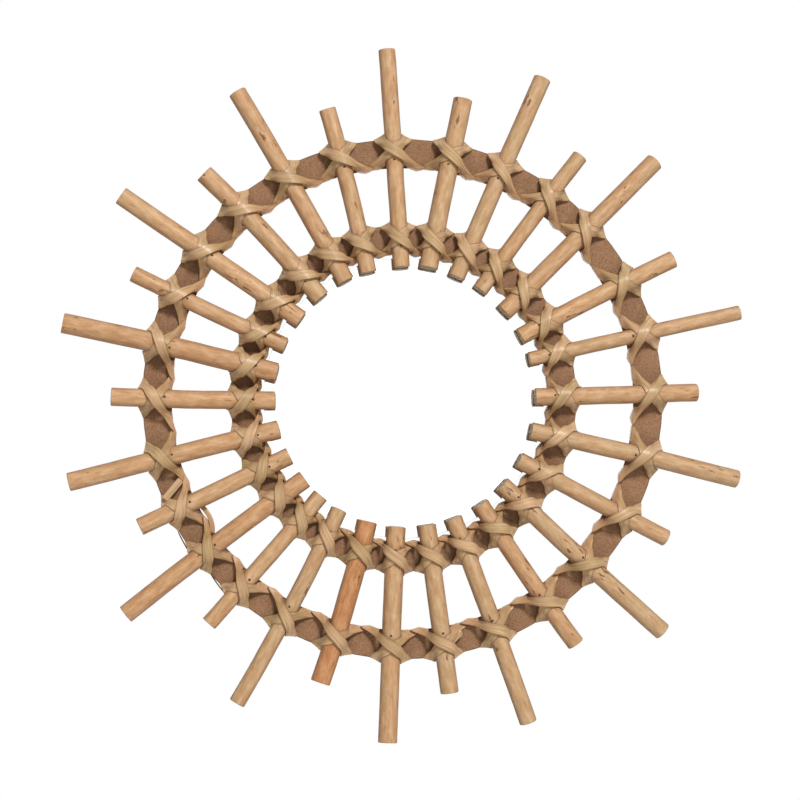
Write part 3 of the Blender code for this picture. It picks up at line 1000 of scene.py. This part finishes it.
def loose_end_rows(points, width):
    """Cross-lines of a loose strip, which narrows to a rounded tip."""
    middles = [sun_point(math.radians(bearing), radius * MM, outer_size.front + height * MM)
               for bearing, radius, height in points]
    first, second, third, fourth = middles
    line = []
    for step in range(LOOSE_STEPS + 1):
        share = step / LOOSE_STEPS
        rest = 1 - share
        line.append(rest ** 3 * first + 3 * rest ** 2 * share * second
                    + 3 * rest * share ** 2 * third + share ** 3 * fourth)
    rows = []
    for step, middle in enumerate(line):
        ahead = line[min(step + 1, LOOSE_STEPS)] - line[max(step - 1, 0)]
        across = ahead.cross(Vector((0.0, -1.0, 0.0))).normalized()
        taper = max(step / LOOSE_STEPS - LOOSE_TAPER_START, 0.0)
        half = width / 2 * math.sqrt(1 - taper ** 2 / LOOSE_BLUNTNESS)
        rows.append([middle + across * half * column
                     for column in np.linspace(-1, 1, LOOSE_COLUMNS)])
    return np.array(rows)


def make_loose_ends(name, strips, material):
    for number, (*points, width) in enumerate(strips, start=1):
        rows = loose_end_rows(points, width * MM)
        mesh = strip_mesh(f"{name}_{number}", rows, material, closed=False, flip=True)
        finish_piece(f"{name}_{number}", mesh, "rattan_peel")


# Turned boards and glass

def turned_mesh(name, profile):
    """A closed profile of (radius, depth) turned about the middle, as unevenly as it is sawn."""
    shape = bmesh.new()
    rows = []
    for step in range(TURNED_SEGMENTS):
        bearing = TURN * step / TURNED_SEGMENTS
        row = []
        for number, (radius, depth) in enumerate(profile):
            wave = sun_point(bearing, radius, depth) * BOARD_WAVES
            stray = BOARD_UNEVENNESS * noise.noise(wave + Vector((0, 0, 9.0 * number)))
            place = sun_point(bearing, radius + stray, depth + BOARD_DEPTH_SHARE * stray)
            row.append(shape.verts.new(place))
        rows.append(row)
    for step, row in enumerate(rows):
        following = rows[(step + 1) % TURNED_SEGMENTS]
        for number in range(len(profile)):
            beside = (number + 1) % len(profile)
            shape.faces.new((row[number], following[number], following[beside], row[beside]))
    mesh = mesh_of(shape, name)
    shade_round(mesh, BOARD_SHARP)
    return mesh


def make_ring(name, node, size, face_material, edge_material):
    """A sawn fibreboard ring with worn, slightly uneven arrises."""
    inner, outer = size.inner + BOARD_WEAR, size.outer - BOARD_WEAR
    back, front = size.back + BOARD_WEAR, size.front - BOARD_WEAR
    between_faces = (size.back + size.front) / 2
    quarter = (size.outer - size.inner) / 4
    across = [inner, size.inner + quarter, size.middle, size.outer - quarter, outer]
    profile = [(size.inner, back)]
    profile += [(radius, size.back) for radius in across]
    profile += [(size.outer, depth) for depth in (back, between_faces, front)]
    profile += [(radius, size.front) for radius in reversed(across)]
    profile += [(size.inner, depth) for depth in (front, between_faces)]
    mesh = turned_mesh(name, profile)
    mesh.materials.append(face_material)
    mesh.materials.append(edge_material)
    # The walls and worn arrises take the dark edge material, partly the sawn board's colour,
    # partly painted shade
    for face in mesh.polygons:
        radius = math.hypot(face.center.x, face.center.z)
        face.material_index = 0 if inner < radius < outer else 1
    finish_piece(name, mesh, "fibreboard_ring", node)


def disc_mesh(name, profile, sheet):
    """A disc from the middle of its back, round its rim, to the middle of its front, with
    a round sheet of this radius and depth inside it."""
    shape = bmesh.new()
    bearings = [TURN * step / TURNED_SEGMENTS for step in range(TURNED_SEGMENTS)]
    rows = [[shape.verts.new(sun_point(bearing, radius, depth)) for radius, depth in profile]
            for bearing in bearings]
    shape.faces.new([shape.verts.new(sun_point(bearing, *sheet)) for bearing in bearings])
    back = shape.verts.new((0.0, -profile[0][1], 0.0))
    front = shape.verts.new((0.0, -profile[-1][1], 0.0))
    for step, row in enumerate(rows):
        following = rows[(step + 1) % TURNED_SEGMENTS]
        shape.faces.new((back, row[0], following[0]))
        shape.faces.new((front, following[-1], row[-1]))
        for number in range(len(profile) - 1):
            shape.faces.new((
                row[number], row[number + 1], following[number + 1], following[number],
            ))
    return mesh_of(shape, name)


def make_glass(clear, silver, paint):
    """Clear glass with a polished rim, and silver just inside its painted back."""
    size = glass_size
    mesh = disc_mesh("mirror", [
        (size.outer - GLASS_MARGIN, size.back), (size.outer, size.back),
        (size.outer, size.front - GLASS_BEVEL), (size.outer - GLASS_BEVEL, size.front),
        (size.outer - GLASS_MARGIN, size.front),
    ], sheet=(size.outer - GLASS_BEVEL, size.back + SILVER_INSET))
    for material in (clear, silver, paint):
        mesh.materials.append(material)
    for face in mesh.polygons:
        depth = -face.center.y
        if depth > size.front - GLASS_BEVEL:
            face.material_index = 0
        elif depth < size.back + SILVER_INSET / 2:
            face.material_index = 2
        else:
            face.material_index = 1
    finish_piece("mirror", mesh, "silvered_glass", "mirror_glass")


# Brads

def brad_tree():
    """Small domed heads on points, each with its own lean and turn."""
    tree, given = new_tree("brads", [
        ("Head radius", "Float"), ("Dome", "Float"), ("Lean", "Float"), ("Seed", "Int"),
        ("Finish", "Material"),
    ])
    head = out(tree, "GeometryNodeMeshUVSphere", {
        "Segments": 14, "Rings": 8, "Radius": given["Head radius"],
    })
    flat = out(tree, "GeometryNodeTransform", {
        "Geometry": head, "Scale": combined(tree, 1.0, 1.0, given["Dome"]),
    })
    facing = out(tree, "FunctionNodeAlignRotationToVector", {
        "Vector": (0.0, -1.0, 0.0),
    }, axis="Z")
    tilt = out(tree, "FunctionNodeRandomValue", {
        0: (-1.0, -1.0, -1.0), 1: (1.0, 1.0, 1.0), "Seed": given["Seed"],
    }, data_type="FLOAT_VECTOR")
    lean = out(tree, "FunctionNodeEulerToRotation", {"Euler": scaled(tree, tilt, given["Lean"])})
    turned = out(tree, "FunctionNodeRotateRotation", {
        "Rotation": facing, "Rotate By": lean,
    }, rotation_space="LOCAL")
    heads = out(tree, "GeometryNodeInstanceOnPoints", {
        "Points": given["Geometry"], "Instance": flat, "Rotation": turned,
    })
    close_tree(tree, heads, given["Finish"])
    return tree


def make_brads(material):
    tree = brad_tree()
    chance = random.Random(BRAD_SEED)
    for ring, radius in (("inner", INNER_BRAD_RADIUS), ("outer", OUTER_BRAD_RADIUS)):
        places = []
        for cane in canes:
            if chance.random() > SHOWN_BRADS:
                continue
            at = radius + chance.uniform(-BRAD_STRAY_ALONG, BRAD_STRAY_ALONG)
            across = chance.uniform(-BRAD_STRAY_ACROSS, BRAD_STRAY_ACROSS)
            height = math.sqrt(cane.radius ** 2 - across ** 2)
            bearing = cane.bearing(at) + across / at
            places.append(sun_point(bearing, at, cane.depth + height - BRAD_SUNK))
        mesh = bpy.data.meshes.new(f"{ring}_brad_places")
        mesh.from_pydata(places, [], [])
        heads = grow(add_object(mesh.name, mesh), f"{ring}_brads", tree, {
            "Head radius": BRAD_HEAD, "Dome": BRAD_DOME, "Lean": BRAD_LEAN,
            "Seed": len(ring), "Finish": material,
        })
        finish_piece(f"{ring}_brads", heads, "rattan_stick")


# Studio

def white_room():
    """A world that shows white to the camera and the mirror, and lights more gently."""
    world = bpy.data.worlds.new("white_room")
    world.use_nodes = True
    tree = world.node_tree
    background = tree.nodes["Background"]
    path = tree.nodes.new("ShaderNodeLightPath").outputs
    lights = math_node(tree, "GREATER_THAN", path["Diffuse Depth"], 0.5)
    seen = math_node(tree, "MULTIPLY_ADD", path["Is Camera Ray"], 1.0 - MIRRORED, MIRRORED)
    darker = math_node(tree, "SUBTRACT", AMBIENT, seen)
    strength = math_node(tree, "MULTIPLY_ADD", lights, darker, seen)
    tint = mix(tree, lights, (1.0, 1.0, 1.0, 1.0), AMBIENT_TINT)
    tree.links.new(tint, background.inputs["Color"])
    tree.links.new(strength, background.inputs["Strength"])
    return world


def add_light(name, place, size, power, gleams):
    """A round soft light that faces the object's middle and may gleam on the pieces."""
    light = bpy.data.lights.new(name, "AREA")
    light.shape = "DISK"
    light.size = size
    light.energy = power
    lamp = add_object(name, light)
    lamp.location = place
    lamp.rotation_euler = (-Vector(place)).to_track_quat("-Z", "Y").to_euler()
    lamp.visible_glossy = gleams


def make_studio():
    """A pale floor well below, a white room, soft lights and the camera."""
    scene = bpy.context.scene
    scene.view_settings.view_transform = "Standard"
    scene.world = white_room()

    corners = [(across * FLOOR_HALF, along * FLOOR_HALF, FLOOR_LEVEL)
               for across, along in ((-1, -1), (1, -1), (1, 1), (-1, 1))]
    floor_mesh = bpy.data.meshes.new("floor")
    floor_mesh.from_pydata(corners, [], [(0, 1, 2, 3)])
    pale, _, shader = new_material("pale_floor", 0.9, specular=0.1)
    shader.inputs["Base Color"].default_value = (0.9, 0.9, 0.9, 1.0)
    floor_mesh.materials.append(pale)
    add_object("floor", floor_mesh)

    for light in LIGHTS:
        add_light(*light)

    camera = add_object("camera", bpy.data.cameras.new("camera"))
    scene.camera = camera
    camera.location = (CAMERA_FOOT[0], -CAMERA_DISTANCE, CAMERA_FOOT[1])
    aim = Vector((CAMERA_AIM[0], -canes[0].depth, CAMERA_AIM[1]))
    sight = aim - camera.location
    camera.rotation_euler = sight.to_track_quat("-Z", "Y").to_euler()
    camera.data.lens = camera.data.sensor_width * sight.length / (PICTURE_WIDTH * PIXEL)


make_studio()
rattan = rattan_material()
peel = peel_material(inner_size, outer_size)
fibreboard = fibreboard_material()
sawn_and_shaded_edge = sawn_and_shaded_edge_material()

make_canes(rattan)
make_lashings(peel)
make_loose_ends("loose_peel", LOOSE_ENDS, peel)
make_loose_ends("peel_thread_painted_shade", THREADS, shaded_thread_material())
make_ring("inner_board", "inner_ring", inner_size, fibreboard, sawn_and_shaded_edge)
make_ring("outer_board", "outer_ring", outer_size, fibreboard, sawn_and_shaded_edge)
make_glass(clear_glass_material(), silver_material(), backing_paint_material())
make_brads(brad_material())

back_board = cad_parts["back_board"]
back_board.material_slots[0].material = hardboard_material()
